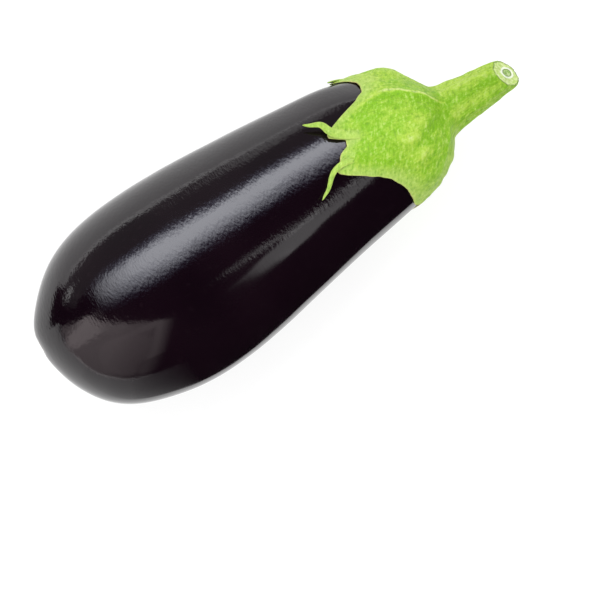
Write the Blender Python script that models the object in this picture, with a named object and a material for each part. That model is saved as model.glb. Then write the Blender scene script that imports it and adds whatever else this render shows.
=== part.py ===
"""An eggplant, picked with its calyx and a cut length of stem, lying on its side.

Metres, +Z up. The long axis runs along X, from the blossom end at -X to the cut stem at +X.
The origin is on the surface that the fruit rests on, under the middle of the bounding box.

Everything is laid out in skin coordinates: a reach along the skin from the top of the
shoulder, where the stem joins, an angle round the long axis from +Z towards +Y, and a
height above the skin. The fruit is the skin itself, and the calyx is a cap that hugs it.
"""

import math
from typing import NamedTuple

import bmesh
import bpy
import numpy as np

MM = 0.001

# The fruit's side outline as guide points of a smooth curve: distance from the blossom
# tip and radius. It is 177.5 mm long, and about 81 mm across with the swells below.
FRUIT_GUIDES = np.array(
    (
        (-1.6, 0.0),
        (2.8, 15.9),
        (17.8, 32.5),
        (41.5, 40.2),
        (68.0, 40.0),
        (98.0, 37.2),
        (128.0, 32.4),
        (154.0, 28.0),
        (173.0, 21.2),
        (179.8, 0.0),
    )
) * MM
FRUIT_LENGTH = 177.5 * MM
HEIGHT_SHARE = 0.96  # height of a section against its width
SIDE_BOW = 2.5 * MM  # the axis bows sideways by this at half length
SIDE_SNAKE = 2.8 * MM  # and snakes by this, once each way
TIP_LEAN = 2.8 * MM  # the blossom end leans aside by this, most of all near TIP_REACH
TIP_REACH = 9.0 * MM
BELLY_SAG = 2.0 * MM  # the axis bows down by this at half length
# The skin stands off that even outline in three long soft swells: the side (1 is +Y, -1 is
# -Y), the distance from the blossom tip, the half length and the height, in millimetres.
SWELLS = (
    (1, 68.0, 36.0, 1.05),
    (1, 146.0, 13.0, 1.1),
    (-1, 16.0, 14.0, 1.3),
)
RIB_SHARE = 0.012  # soft ribs at the shoulder, as a share of the radius
RIB_COUNT = 5
RIB_REACH = 75.0 * MM  # the ribs have faded this far down the skin
SCAR_DEPTH = 1.0 * MM  # dimple of the blossom scar
SCAR_RADIUS = 3.2 * MM

# How it lies: tilted, so that the slim stem end sinks towards the ground and the weight is over
# the flat spot on the belly.
TILT = math.radians(5.2)
FLAT_DEPTH = 0.8 * MM  # how much of the belly is pressed flat where it rests

# The calyx, a cap with five pointed sepals.
SKIN_GAP = 0.4 * MM
EDGE_THICKNESS = 0.9 * MM
CAP_THICKNESS = 1.9 * MM
THIN_SIDE, THIN_SPREAD, THIN_SHARE = -90.0, 32.0, 0.6  # the cap is thinner on its near side
THIN_START, THIN_END = 14.0 * MM, 26.0 * MM  # from this reach on
DOME_SIDE, DOME_SPREAD, DOME_HEIGHT = 88.0, 22.0, 0.7 * MM  # and domed on its far side
DOME_REACH, DOME_LENGTH = 20.0 * MM, 9.0 * MM
RIDGE_HEIGHT = 0.9 * MM
RIDGE_WIDTH = 15.0
SEPALS = (88.0, 27.0, -0.5, -128.0, 165.0)  # the middles of the five sepals, in degrees
NOTCH = 12.0  # the middle of the torn notch between two of them

# The rim of the calyx, as angles in degrees and reaches in millimetres. It runs from one
# trough to the next, with a sepal's point between them and a torn notch beside 12 degrees.
RIM = (
    (-180, 46.2), (-165, 42.5), (-157, 42.0), (-148, 45.0), (-138, 50.2), (-128, 56.5), (-118, 50.5),
    (-108, 45.0), (-98, 40.2), (-90, 38.2), (-82, 39.4), (-73, 41.8), (-59, 42.0), (-44, 42.8),
    (-35, 44.8), (-28, 46.9), (-21, 50.7), (-15, 55.5), (-8, 60.9), (-3, 64.3), (0.5, 63.8),
    (3.5, 61.0), (8.2, 59.0), (9.4, 56.6), (12.8, 54.9), (15, 55.2), (18, 57.7), (21, 60.6),
    (24, 60.2), (29.5, 54.8), (35, 48.8), (41, 43.0), (49, 38.7), (58, 37.7), (66, 37.8),
    (71, 38.8), (77, 40.5), (83, 43.2), (87, 45.6), (91, 47.0), (96, 46.0), (103, 42.8), (113, 40.0),
    (124, 39.2), (136, 41.0), (150, 46.0), (165, 51.8), (180, 46.2),
)


class Horn(NamedTuple):
    """The curled end of a sepal, along guide points of an angle, a reach and a height over the skin."""

    guides: tuple  # in degrees and millimetres
    width: float  # in millimetres
    twist: float  # degrees from root to tip


HORNS = (
    Horn(((94, 38, 1.2), (91, 42, 1.3), (87, 44.6, 1.5), (82, 46, 1.7), (76, 46.4, 1.7)), 2.2, 20),
    Horn(
        ((15, 50, 1.2), (19.5, 56.9, 1.5), (25, 59.4, 2.0), (31, 60.6, 2.1), (34, 63.8, 1.9), (38, 66, 2.0)),
        2.7,
        -25,
    ),
    Horn(
        ((-1, 54, 1.2), (1, 60.5, 1.8), (0, 65, 1.7), (-4.2, 68.7, 1.6), (-8.2, 71.5, 1.8), (-10.7, 75, 2.3)),
        2.1,
        20,
    ),
    Horn(((-128, 48, 1.2), (-127.5, 54, 1.5), (-125.5, 58.5, 2.0), (-122.5, 62.5, 2.8)), 2.3, 30),
    Horn(((165, 44, 1.2), (164.6, 49, 1.3), (162.5, 53, 1.5), (160.5, 55.5, 1.7)), 2.3, -20),
)
HORN_THICKNESS = 0.45  # as a share of its width
HORN_FLOOR = 1.15 * MM  # no horn's middle is nearer to the skin than this

# The stem, a stout stalk that bends up from the shoulder and ends in a slanted cut.
STEM_ROOT = 176.0 * MM  # where its axis leaves the fruit's, from the blossom tip
STEM_LENGTH = 34.5 * MM
STEM_BEND = math.radians(39.0)
STEM_RADIUS = 6.75 * MM
STEM_SIDE = 0.25 * MM  # its axis runs this far to +Y of the fruit's
STEM_FOOT = 3.8 * MM  # extra radius at its root, tapering off to nothing at the cut
STEM_START = 7.5 * MM  # first stem ring, from the root along the stem
CAP_START = 9.5 * MM  # reach of the cap's first ring round the stem
CAP_FLARE = 2.2 * MM  # extra height of the cap at that ring
CAP_FLARE_FADE = 4.0 * MM
CORNER_SHARE = 0.07  # how far the stem's corners stand out, as a share of its radius
CUT_SLANT = math.tan(math.radians(5.0))  # the cut leans back at the top
CUT_SKEW = math.tan(math.radians(13.0))  # and leans back more at one side
CUT_ROUND = 0.6 * MM  # rounding of the cut's rim

FRUIT_SEGMENTS, FRUIT_RINGS = 56, 40
CALYX_SEGMENTS = 116
STEM_RINGS, CAP_RINGS, LINING_RINGS = 7, 14, 13
HORN_SEGMENTS, HORN_STEPS = 8, 3

SKIN_COLOUR = (0.012, 0.006, 0.013, 1.0)
CALYX_COLOUR = (0.30, 0.56, 0.06, 1.0)


def spline(guides, steps):
    """A uniform cubic B-spline over guide points, with so many steps between two of them."""
    t = np.arange(steps)[:, None] / steps
    weights = ((1 - t) ** 3, 3 * t**3 - 6 * t**2 + 4, -3 * t**3 + 3 * t**2 + 3 * t + 1, t**3)
    spans = [
        sum(w * guides[i + k] for k, w in enumerate(weights)) / 6 for i in range(len(guides) - 3)
    ]
    end = (guides[-3] + 4 * guides[-2] + guides[-1]) / 6
    return np.vstack(spans + [end[None]])


def fruit_outline():
    """The fruit's smooth outline, with mirrored ends, so that it meets the axis squarely."""
    first = FRUIT_GUIDES[1] * (1, -1)
    last = FRUIT_GUIDES[-2] * (1, -1)
    return spline(np.vstack([first, FRUIT_GUIDES, last]), 60)[::-1]


# The outline, run from the stem end to the blossom end, with its lengths and normals.
OUTLINE = fruit_outline()
OUTLINE_REACH = np.concatenate([[0.0], np.cumsum(np.linalg.norm(np.diff(OUTLINE, axis=0), axis=1))])
SLOPE = np.gradient(OUTLINE, OUTLINE_REACH, axis=0)
NORMAL = np.stack([SLOPE[:, 1], -SLOPE[:, 0]], axis=1)
SKIN_REACH = OUTLINE_REACH[-1]


def bell(value, width):
    """A bell curve: 1 at 0, and 0.37 at the width."""
    return np.exp(-((value / width) ** 2))


def smooth_step(value, low, high):
    """0 below low, 1 above high, and an S curve between."""
    t = np.clip((value - low) / (high - low), 0, 1)
    return t * t * (3 - 2 * t)


def swell(along, angle):
    """How far the skin stands off its even outline: a bell along the fruit on one side of it."""
    sides = [np.clip(side * np.sin(angle), 0, 1) ** 2 for side, *_ in SWELLS]
    bells = [height * bell(along / MM - middle, half) for _, middle, half, height in SWELLS]
    return sum(side * curve for side, curve in zip(sides, bells)) * MM


def skin(reach, angle, height=0.0):
    """The point at a reach, an angle in radians and a height over the skin."""
    reach, angle, height = np.broadcast_arrays(reach, angle, height)
    along, radius, lean, rise = (
        np.interp(reach, OUTLINE_REACH, values) for values in (*OUTLINE.T, *NORMAL.T)
    )
    height = height + swell(along, angle)
    ribs = RIB_SHARE * bell(reach, RIB_REACH) * np.cos(RIB_COUNT * angle)
    out = radius * (1 + ribs) + height * rise
    share = along / FRUIT_LENGTH
    bow = SIDE_BOW * np.sin(math.pi * share) + SIDE_SNAKE * np.sin(2 * math.pi * share)
    sway = -bow - TIP_LEAN * along / TIP_REACH * np.exp(1 - along / TIP_REACH)
    sag = -BELLY_SAG * np.sin(math.pi * share)
    return np.stack(
        [
            along + height * lean,
            sway + out * np.sin(angle),
            sag + HEIGHT_SHARE * out * np.cos(angle),
        ],
        axis=-1,
    )


def turn(angle, towards):
    """The angle from one direction to another, in degrees, from -180 to 180."""
    return (np.degrees(angle) - towards + 180) % 360 - 180


def crowded(angle):
    """Even angles, moved closer together beside each sepal's point and in the torn notch."""
    fine = np.radians(np.linspace(-180, 180, 3601))
    crowd = 1 + sum(2.5 * bell(turn(fine, sepal), 8.0) for sepal in SEPALS)
    crowd = crowd + 3.0 * bell(turn(fine, NOTCH), 9.0)
    share = np.concatenate([[0.0], np.cumsum(crowd[1:])])
    return np.interp(angle / (2 * math.pi), share / share[-1], fine)


def rim_reach(angle):
    """Reach of the calyx's rim, with straight runs between its guide points."""
    guides = np.array(RIM)
    return np.interp(turn(angle, 0.0), *guides.T) * MM


def ridges(angle):
    """From 0 to about 1: one soft ridge down the middle of each sepal."""
    return sum(bell(turn(angle, sepal), RIDGE_WIDTH) for sepal in SEPALS)


def cap_height(reach, angle, rim):
    """Height of the cap's outer face: thin at the rim, flared at the stem, ridged along each sepal."""
    share = reach / rim
    thin = THIN_SHARE * bell(turn(angle, THIN_SIDE), THIN_SPREAD)
    thin = 1 - thin * smooth_step(reach, THIN_START, THIN_END)
    body = EDGE_THICKNESS + (CAP_THICKNESS - EDGE_THICKNESS) * (1 - share**4) * thin
    flare = CAP_FLARE * np.exp(-(reach - CAP_START) / CAP_FLARE_FADE)
    ridge = RIDGE_HEIGHT * ridges(angle) * np.sin(math.pi * np.clip(share, 0, 1)) ** 2
    dome = DOME_HEIGHT * bell(turn(angle, DOME_SIDE), DOME_SPREAD) * bell(reach - DOME_REACH, DOME_LENGTH)
    return SKIN_GAP + body + flare + ridge + dome


def stem_point(distance, angle, radius):
    """A point round the stem's axis, an arc that leaves the fruit's axis and bends up."""
    bend = distance / STEM_LENGTH * STEM_BEND
    bow = STEM_LENGTH / STEM_BEND
    up = radius * np.cos(angle)
    return np.stack(
        [
            STEM_ROOT + bow * np.sin(bend) - up * np.sin(bend),
            radius * np.sin(angle) + STEM_SIDE,
            bow * (1 - np.cos(bend)) + up * np.cos(bend),
        ],
        axis=-1,
    )


def stem_radius(distance, angle):
    """Radius of the stem: a wide foot that narrows to an even stalk with blunt corners."""
    foot = STEM_FOOT * np.clip(1 - distance / STEM_LENGTH, 0, 1) ** 1.2
    corners = CORNER_SHARE * (ridges(angle) - 0.5)
    return (STEM_RADIUS + foot) * (1 + corners)


def slant(angle):
    """How far the slanted cut leans back at an angle, as a share of the radius."""
    return CUT_SLANT * np.cos(angle) + CUT_SKEW * np.sin(angle)


def cut_ring(share, angle):
    """A ring on the stem's cut, at a share of its radius. The rim of the cut is rounded."""
    radius = share * (stem_radius(STEM_LENGTH, angle) - CUT_ROUND)
    return stem_point(STEM_LENGTH - slant(angle) * radius, angle, radius)


def calyx_rings(angle):
    """Rings of points that run from the cut down the stem, over the cap and back inside it."""
    angle = crowded(angle)
    rim = rim_reach(angle)
    rings = [cut_ring(share, angle) for share in (0.0, 0.5, 1.0)]
    for distance in np.linspace(STEM_LENGTH - CUT_ROUND, STEM_START, STEM_RINGS):
        radius = stem_radius(distance, angle)
        back = slant(angle) * radius * (distance / STEM_LENGTH) ** 3
        rings.append(stem_point(distance - back, angle, radius))
    for share in np.linspace(0, 1, CAP_RINGS) ** 1.15:
        reach = CAP_START + (rim - CAP_START) * share
        rings.append(skin(reach, angle, cap_height(reach, angle, rim)))
    for share in np.linspace(1, 0, LINING_RINGS):
        rings.append(skin(rim * share, angle, SKIN_GAP))
    return np.array(rings)


def fruit_rings(angle):
    """Rings of skin, closer together at both ends, with the blossom scar dimpled in."""
    rings = []
    for step in range(FRUIT_RINGS + 1):
        reach = SKIN_REACH * (1 - math.cos(math.pi * step / FRUIT_RINGS)) / 2
        scar = math.exp(-(((SKIN_REACH - reach) / SCAR_RADIUS) ** 2))
        rings.append(skin(reach, angle, -SCAR_DEPTH * scar))
    return np.array(rings)


def horn_rings(horn, phi):
    """Rings of a flat strip along a smooth path over the skin, twisted and tapering to its tip.

    Its section is an ellipse. Its width narrows from the root, and at the tip by a root curve.
    """
    guides = np.array(horn.guides) * (math.radians(1), MM, MM)
    guides = np.vstack([guides[:1], guides[:1], guides, guides[-1:], guides[-1:]])
    angle, reach, height = spline(guides, HORN_STEPS).T
    height = np.maximum(height, HORN_FLOOR)
    middle = skin(reach, angle, height)
    out = skin(reach, angle, height + MM) - middle
    ahead = np.gradient(middle, axis=0)
    ahead /= np.linalg.norm(ahead, axis=1)[:, None]
    side = np.cross(out, ahead)
    side /= np.linalg.norm(side, axis=1)[:, None]
    out = np.cross(ahead, side)
    steps = np.linalg.norm(np.diff(middle, axis=0), axis=1)
    share = np.concatenate([[0.0], np.cumsum(steps)])
    share = (share / share[-1])[:, None]
    twist = np.radians(horn.twist) * share**2
    half = horn.width / 2 * MM * (1.5 - 0.7 * share**0.7) * np.sqrt(1 - share**4)
    across = half * np.cos(phi)
    up = HORN_THICKNESS * half * np.sin(phi)
    x = across * np.cos(twist) - up * np.sin(twist)
    z = across * np.sin(twist) + up * np.cos(twist)
    rings = middle[:, None] + side[:, None] * x[..., None] + out[:, None] * z[..., None]
    rings[0] = rings[0].mean(axis=0)
    return rings


def shaped_ball(name, segments, rings_of):
    """A ball whose rings are moved to the rings of points that rings_of gives for its angles."""
    angle = np.arange(segments) * 2 * math.pi / segments
    table = rings_of(angle)
    last = len(table) - 1
    mesh = bpy.data.meshes.new(name)
    ball = bmesh.new()
    bmesh.ops.create_uvsphere(ball, u_segments=segments, v_segments=last, radius=1.0)
    for vert in ball.verts:
        ring = round(math.acos(max(-1.0, min(1.0, vert.co.z))) / math.pi * last)
        segment = round(math.atan2(vert.co.y, vert.co.x) / (2 * math.pi) * segments) % segments
        vert.co = table[ring, segment]
    ball.normal_update()
    bmesh.ops.recalc_face_normals(ball, faces=ball.faces)
    ball.to_mesh(mesh)
    ball.free()
    return bpy.data.objects.new(name, mesh)


def finish(name, colour, roughness):
    """A plain material with a colour and a roughness."""
    material = bpy.data.materials.new(name)
    material.use_nodes = True
    shader = material.node_tree.nodes["Principled BSDF"]
    shader.inputs["Base Color"].default_value = colour
    shader.inputs["Roughness"].default_value = roughness
    return material


def fuse(body, extras):
    """Joins a collection of small pieces to a body with one Boolean union, then drops them."""
    modifier = body.modifiers.new("fuse", "BOOLEAN")
    modifier.operation = "UNION"
    modifier.operand_type = "COLLECTION"
    modifier.collection = extras
    modifier.solver = "EXACT"
    graph = bpy.context.evaluated_depsgraph_get()
    joined = bpy.data.meshes.new_from_object(body.evaluated_get(graph))
    body.modifiers.clear()
    body.data = joined
    for piece in list(extras.objects):
        bpy.data.objects.remove(piece)
    bpy.data.collections.remove(extras)


def mesh_points(piece):
    """All vertices of a piece as an array."""
    points = np.empty(len(piece.data.vertices) * 3)
    piece.data.vertices.foreach_get("co", points)
    return points.reshape(-1, 3)


def put_points(piece, points):
    """Moves a piece's vertices to new places."""
    piece.data.vertices.foreach_set("co", points.astype(np.float32).ravel())
    piece.data.update()


def lay_down(fruit, calyx):
    """Tilts both pieces to their resting pose, presses the belly flat and centres them over the origin."""
    lean = np.array(
        (
            (math.cos(TILT), 0, math.sin(TILT)),
            (0, 1, 0),
            (-math.sin(TILT), 0, math.cos(TILT)),
        )
    )
    laid = {piece: mesh_points(piece) @ lean.T for piece in (fruit, calyx)}
    everything = np.vstack(list(laid.values()))
    low, high = everything.min(axis=0), everything.max(axis=0)
    floor = laid[fruit][:, 2].min() + FLAT_DEPTH
    origin = np.array(((low[0] + high[0]) / 2, (low[1] + high[1]) / 2, floor))
    for piece, points in laid.items():
        points = points - origin
        if piece is fruit:
            points[:, 2] = np.maximum(points[:, 2], 0.0)
        put_points(piece, points)


def build():
    """Clears the scene and makes the fruit and the calyx with its stem."""
    for old in list(bpy.data.objects):
        bpy.data.objects.remove(old)
    eggplant = bpy.data.collections.new("eggplant")
    horns = bpy.data.collections.new("horns")
    bpy.context.scene.collection.children.link(eggplant)
    bpy.context.scene.collection.children.link(horns)

    fruit = shaped_ball("fruit", FRUIT_SEGMENTS, fruit_rings)
    calyx = shaped_ball("calyx_and_stem", CALYX_SEGMENTS, calyx_rings)
    eggplant.objects.link(fruit)
    eggplant.objects.link(calyx)
    for number, horn in enumerate(HORNS):
        name = f"horn_{number}"
        horns.objects.link(shaped_ball(name, HORN_SEGMENTS, lambda phi: horn_rings(horn, phi)))
    fuse(calyx, horns)
    lay_down(fruit, calyx)

    fruit.data.materials.append(finish("eggplant skin", SKIN_COLOUR, 0.18))
    calyx.data.materials.clear()
    calyx.data.materials.append(finish("calyx green", CALYX_COLOUR, 0.6))
    for piece in (fruit, calyx):
        piece.data.shade_smooth()


build()
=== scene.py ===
"""The looks of an eggplant with its calyx and cut stem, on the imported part's frame.

The shapes are laid out as in the part: a reach along the skin from the top of the shoulder, an
angle round the long axis from +Z towards +Y, and a height over the skin, all tilted afterwards
into the pose in which the fruit rests. Lengths are metres.
"""

import math
from typing import NamedTuple

import bpy
import numpy as np
from mathutils import Matrix, Vector

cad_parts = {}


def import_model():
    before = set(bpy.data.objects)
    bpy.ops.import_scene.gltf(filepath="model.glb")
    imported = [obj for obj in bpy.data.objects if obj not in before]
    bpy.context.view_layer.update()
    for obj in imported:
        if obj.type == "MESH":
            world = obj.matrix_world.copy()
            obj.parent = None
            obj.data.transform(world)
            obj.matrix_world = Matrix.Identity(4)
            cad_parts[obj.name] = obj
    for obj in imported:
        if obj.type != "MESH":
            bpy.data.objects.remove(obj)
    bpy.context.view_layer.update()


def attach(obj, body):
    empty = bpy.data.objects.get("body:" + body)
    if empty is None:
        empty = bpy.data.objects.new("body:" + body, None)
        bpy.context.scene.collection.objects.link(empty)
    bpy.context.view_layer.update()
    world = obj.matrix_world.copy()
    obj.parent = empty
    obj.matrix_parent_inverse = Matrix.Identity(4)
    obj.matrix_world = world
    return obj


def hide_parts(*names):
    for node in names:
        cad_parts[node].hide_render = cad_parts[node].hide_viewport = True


MM = 0.001
TURN = 2 * math.pi

# The fruit's own shape, as in the part.
FRUIT_GUIDES = np.array(
    (
        (-1.6, 0.0),
        (2.8, 15.9),
        (17.8, 32.5),
        (41.5, 40.2),
        (68.0, 40.0),
        (98.0, 37.2),
        (128.0, 32.4),
        (154.0, 28.0),
        (173.0, 21.2),
        (179.8, 0.0),
    )
) * MM
FRUIT_LENGTH = 177.5 * MM
# Each swell has a side (1 is +Y), a distance from the blossom tip, a half length and a height, in
# millimetres.
SWELLS = (
    (1, 68.0, 36.0, 1.05),
    (1, 146.0, 13.0, 1.1),
    (-1, 16.0, 14.0, 1.3),
)
HEIGHT_SHARE = 0.96  # height of a section against its width
SIDE_BOW = 2.5 * MM  # the axis bows sideways by this at half length
SIDE_SNAKE = 2.8 * MM  # and snakes by this, once each way
TIP_LEAN = 2.8 * MM  # the blossom end leans aside by this, most of all near TIP_REACH
TIP_REACH = 9.0 * MM
BELLY_SAG = 2.0 * MM  # the axis bows down by this at half length
TILT = math.radians(5.2)
REST_ORIGIN = np.array((105.971, -4.118, -45.468)) * MM

# The skin's fine relief. Waves are rows of a height and a length in millimetres, a count and a seed.
RIBS = ((5, 0.0, 1.0), (8, 1.1, 0.55), (13, 2.0, 0.4))  # count, phase and share of the height
RIB_HEIGHT = 0.30 * MM
RIB_FADE = 80.0 * MM
SKIN_WAVES = ((0.20, 60, 10, 3), (0.030, 16, 14, 4))
SCAR_DEPTH, SCAR_RADIUS = 1.0 * MM, 2.6 * MM
SKIN_SINK = 0.45 * MM  # lowers the relief, mostly to below the part's own skin
SKIN_RINGS, SKIN_COLUMNS = 250, 340
END_CROWD = 0.45  # share of the rings that crowd towards the two ends

# The calyx and the stem: the part's, with finer edges and more relief.
SKIN_GAP = 0.1 * MM
EDGE_THICKNESS = 0.4 * MM
RIM_ROUND = 0.3 * MM
CAP_THICKNESS = 1.95 * MM
THIN_SIDE, THIN_SPREAD, THIN_SHARE = -90.0, 32.0, 0.6  # the cap is thinner on its near side
THIN_START, THIN_END = 14.0 * MM, 26.0 * MM  # from this reach on
RIDGE_HEIGHT = 0.8 * MM
RIDGE_WIDTH = 15.0
CAP_WAVES = ((0.26, 13, 14, 31), (0.14, 5, 18, 32), (0.05, 2.2, 18, 33))
CALM_REACH = 6.0 * MM  # the waves and folds calm down over this distance from the rim
STEM_ROOT = 176.0 * MM
STEM_LENGTH = 34.3 * MM
STEM_BEND = math.radians(39.0)
STEM_RADIUS = 6.75 * MM
STEM_SIDE = 0.25 * MM
STEM_FOOT = 3.8 * MM
STEM_START = 7.5 * MM
STEM_CORNERS = (38.0, 80.0, 122.0, 172.0, -136.0, -94.0, -45.0)
CORNER_WIDTH = 13.0
CORNER_SHARE = 0.075
FIBRES = ((17, 2.2, 1.0), (29, -1.7, 0.7))  # count, wander and share of the height
FIBRE_HEIGHT = 0.09
FIBRE_WANDER = (22.0 * MM, 8, 41)  # length, count and seed
STEM_WAVES = ((0.14, 9, 12, 42), (0.06, 3, 14, 43))
STEM_SINK = 0.2
STEM_END, END_SHARE = 3.5 * MM, 0.06  # the stem draws in by this share over this length
CAP_START = 9.5 * MM
CAP_FLARE = 2.2 * MM
CAP_FLARE_FADE = 4.0 * MM
FLARE_SIDE, FLARE_SPREAD = 20.0, 40.0  # the flare is higher and longer about this angle
FLARE_HIGHER, FLARE_LONGER = 0.3, 0.8
CUT_SLANT = math.tan(math.radians(5.0))
CUT_SKEW = math.tan(math.radians(13.0))
CUT_ROUND = 0.35 * MM
CORE_OFFSET = (-0.14, 0.0)
CORE_OVAL = 0.8
# The cut's dished pith, proud wood and sunken rind: height in millimetres, then place and width
# as shares of the radius.
CUT_FORMS = ((-0.30, 0.0, 0.24), (0.14, 0.39, 0.07), (-0.18, 0.68, 0.16))

# Rings of the calyx's surface, from the middle of the cut to the middle of the lining.
CUT_RINGS, STEM_RINGS, CAP_RINGS, LINING_RINGS = 26, 46, 90, 20
CAP_BUNCH = 1.05  # the cap's rings stand a little closer at the stem
CALYX_COLUMNS = 450
POINT_CROWD, POINT_SPREAD = 2.5, 8.0  # its columns stand closer by the sepals' points
NOTCH_CROWD, NOTCH_SPREAD = 3.5, 9.0  # and in the torn notch
JOIN_RING, JOIN_WIDTH = CUT_RINGS + STEM_RINGS - 0.5, 12.0  # where the stem blends into the cap
JOIN_SPREAD, JOIN_LEAST = 45.0, 0.08  # most on top, and by this share elsewhere
JOIN_PASSES = 70
CUT_LAY, LAY_STEP = -0.036, 0.002  # places of the cut and of the stem's foot in the pattern

# Lines across the cap: where each runs, as reaches in millimetres and angles in degrees.
CREASE = ((9, 16, 18.6, 23, 26.8, 31.1, 34.9, 39.5, 43.5), (12, 20, 26, 29.2, 35.5, 38.8, 38.5, 36.5, 33))
SIDE_FOLD = ((9, 12, 16, 29, 38, 44), (-26, -30, -36, -60, -70, -74))
VALLEY = ((8, 12, 19, 24, 30), (-6, -8, -8, -12, -17))
FAR_HOLLOW, FAR_DOME, FAR_FACE, NEAR_FACE = ((0,), (60,)), ((0,), (74,)), ((0,), (75,)), ((0,), (-75,))


class Fold(NamedTuple):
    """A soft form along a line of the cap, or a tint there: a bell across it times one along it."""

    height: float  # in millimetres, or a tint's strength
    line: tuple
    beside: float  # degrees from the line
    width: float  # in degrees
    reach: float  # of its middle, in millimetres
    length: float


class Spot(NamedTuple):
    """A soft round form on the cap, or a tint there."""

    height: float
    reach: float
    angle: float
    radius: float


FOLDS = (
    Fold(0.8, CREASE, 0, 5, 24, 15),
    Fold(-0.5, FAR_HOLLOW, 0, 11, 24, 10),
    Fold(0.8, SIDE_FOLD, 0, 7, 18, 11),
    Fold(-1.0, SIDE_FOLD, -17, 10, 20, 12),
    Fold(-1.1, VALLEY, 0, 7, 19, 8),
)
FOLD_START, FOLD_FULL = 8.0 * MM, 15.0 * MM  # the folds rise over these reaches
CAP_RADIUS = 36.0 * MM  # of the cap, where its spots are
DOME = Fold(1.7, FAR_DOME, 0, 26, 25, 8)
BUMPS = (Spot(1.4, 33, -8, 5), Spot(0.9, 32, -25, 3.5))

# How pale the green is: plain shares, folds and spots of the cap, and stripes along the stem.
# Some of them are painted highlights and painted shade.
CAP_SHADE, RIM_SHADE, RIM_SHADE_SPAN = 0.18, 0.30, (2.0, 13.0)
CAP_TINTS_AND_PAINTED_LIGHT = (
    Fold(0.40, FAR_FACE, 0, 26, 0, math.inf),
    # A painted highlight along the crease's ridge, a painted shadow just below it, and painted shade in
    # the valley.
    Fold(1.5, CREASE, 0, 2.0, 24, 16),
    Fold(-0.65, CREASE, -6, 3.5, 24, 16),
    Fold(-0.75, VALLEY, 0, 6, 18, 9),
    Fold(0.2, NEAR_FACE, 0, 22, 20, 9),
)
# Painted highlights where the cap bulges: on its two bumps and on one more spot.
PAINTED_BUMP_HIGHLIGHTS = (Spot(1.0, 33, -8, 4), Spot(1.0, 31, -25, 3.5), Spot(0.6, 26, 2, 4))
STEM_SHADE = 0.42
STEM_STRIPES_AND_PAINTED_LIGHT = (  # strength, angle and width
    # A painted highlight along the stem's upper side and its corner.
    (0.55, 62, 22),
    (0.3, 38, 6),
    (-0.5, 6, 12),
    (0.25, -22, 8),
    # Painted shade down the stem's near side.
    (-0.25, -44, 7),
    (-0.15, -75, 15),
)
# How greyish the green is: at the rim over a span of millimetres, and as painted shade down the
# near side between two spans of degrees.
RIM_DULL, RIM_DULL_SPAN = 0.8, (1.5, 10.0)
PAINTED_SIDE_SHADE, PAINTED_SIDE_SHADE_FROM, PAINTED_SIDE_SHADE_TO = 0.75, (-38.0, -75.0), (-150.0, -110.0)

# The rim of the calyx between its horns, as angles in degrees and reaches in millimetres.
RIM = (
    (-180, 46.2), (-165, 42.5), (-157, 42.0), (-148, 45.0), (-138, 50.2), (-128, 56.5), (-118, 50.5),
    (-108, 45.0), (-98, 40.2), (-90, 38.2), (-82, 39.4), (-73, 41.8), (-59, 42.0), (-44, 42.8),
    (-35, 44.8), (-28, 46.9), (-21, 50.7), (-15, 55.5), (-8, 60.9), (-4, 63.8), (-2, 64.4), (0.5, 63.8),
    (3.5, 61.0), (5.8, 60.3), (8.2, 59.0), (9.4, 56.6), (12.8, 54.9), (15, 55.2), (18, 57.7), (21, 60.6),
    (24, 60.2), (26.6, 58.4), (29.5, 54.8), (35, 48.8), (41, 43.0), (49, 38.7), (58, 37.7), (66, 37.8),
    (71, 38.8), (77, 40.5), (83, 43.2), (87, 45.0), (91, 46.0), (96, 45.4), (103, 42.8), (113, 40.0),
    (124, 39.2), (136, 41.0), (150, 46.0), (165, 51.8), (180, 46.2),
)
RIM_STEP, RIM_SOFT = 0.1, 0.9  # in degrees
RIM_RADIUS = 30.0 * MM
RIM_WAVES = ((0.14, 5, 8, 21), (0.08, 1.8, 8, 22))
NOTCH_WAVES = ((0.30, 1.7, 8, 23),)
SEPALS = (88.0, 27.0, -0.5, -128.0, 165.0)  # the middles of the five sepals, in degrees
NOTCH = 12.0  # the middle of the torn notch between two of them


class Horn(NamedTuple):
    """The curled end of a sepal, along guide points of an angle, a reach and a height over the skin."""

    guides: tuple  # in degrees and millimetres
    width: float  # in millimetres
    blunt: float  # how late it narrows to its tip
    curl: float  # how far its edges stand up
    twist: float  # degrees from root to tip


HORNS = (
    Horn(
        ((94, 38, 0.5), (91.5, 41.5, 0.8), (89, 44, 1.0), (86, 45.8, 1.1), (83, 46.4, 1.1)),
        3.4,
        8,
        0.1,
        0,
    ),
    Horn(
        (
            (14, 49, 0.4),
            (17.5, 53.5, 0.8),
            (20.5, 57.5, 1.2),
            (24.5, 59.4, 1.7),
            (28.8, 59.8, 2.1),
            (32.2, 61.0, 2.1),
            (34.4, 63.8, 1.8),
            (38.2, 66.4, 2.0),
        ),
        3.5,
        2.2,
        0.7,
        -22,
    ),
    Horn(
        (
            (-1.5, 52, 0.4),
            (0, 57, 1.0),
            (1, 60.5, 1.5),
            (0.8, 63.8, 1.7),
            (-1, 66.6, 1.7),
            (-4.2, 68.7, 1.6),
            (-7.8, 70.8, 1.7),
            (-9.4, 73.4, 1.9),
            (-10.9, 75.4, 2.4),
        ),
        2.1,
        4,
        -0.15,
        25,
    ),
    Horn(((-128, 48, 0.5), (-127.5, 54, 1.3), (-125.5, 58.5, 2.0), (-122.5, 62.5, 2.8)), 2.3, 4, 0.5, 30),
    Horn(((165, 44, 0.5), (164.6, 49, 1.1), (162.5, 53, 1.5), (160.5, 55.5, 1.7)), 2.3, 4, 0.4, -20),
)
HORN_STEPS, HORN_SIDES = 7, 22
HORN_FLAT = 0.30  # height of its section against its width
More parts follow.
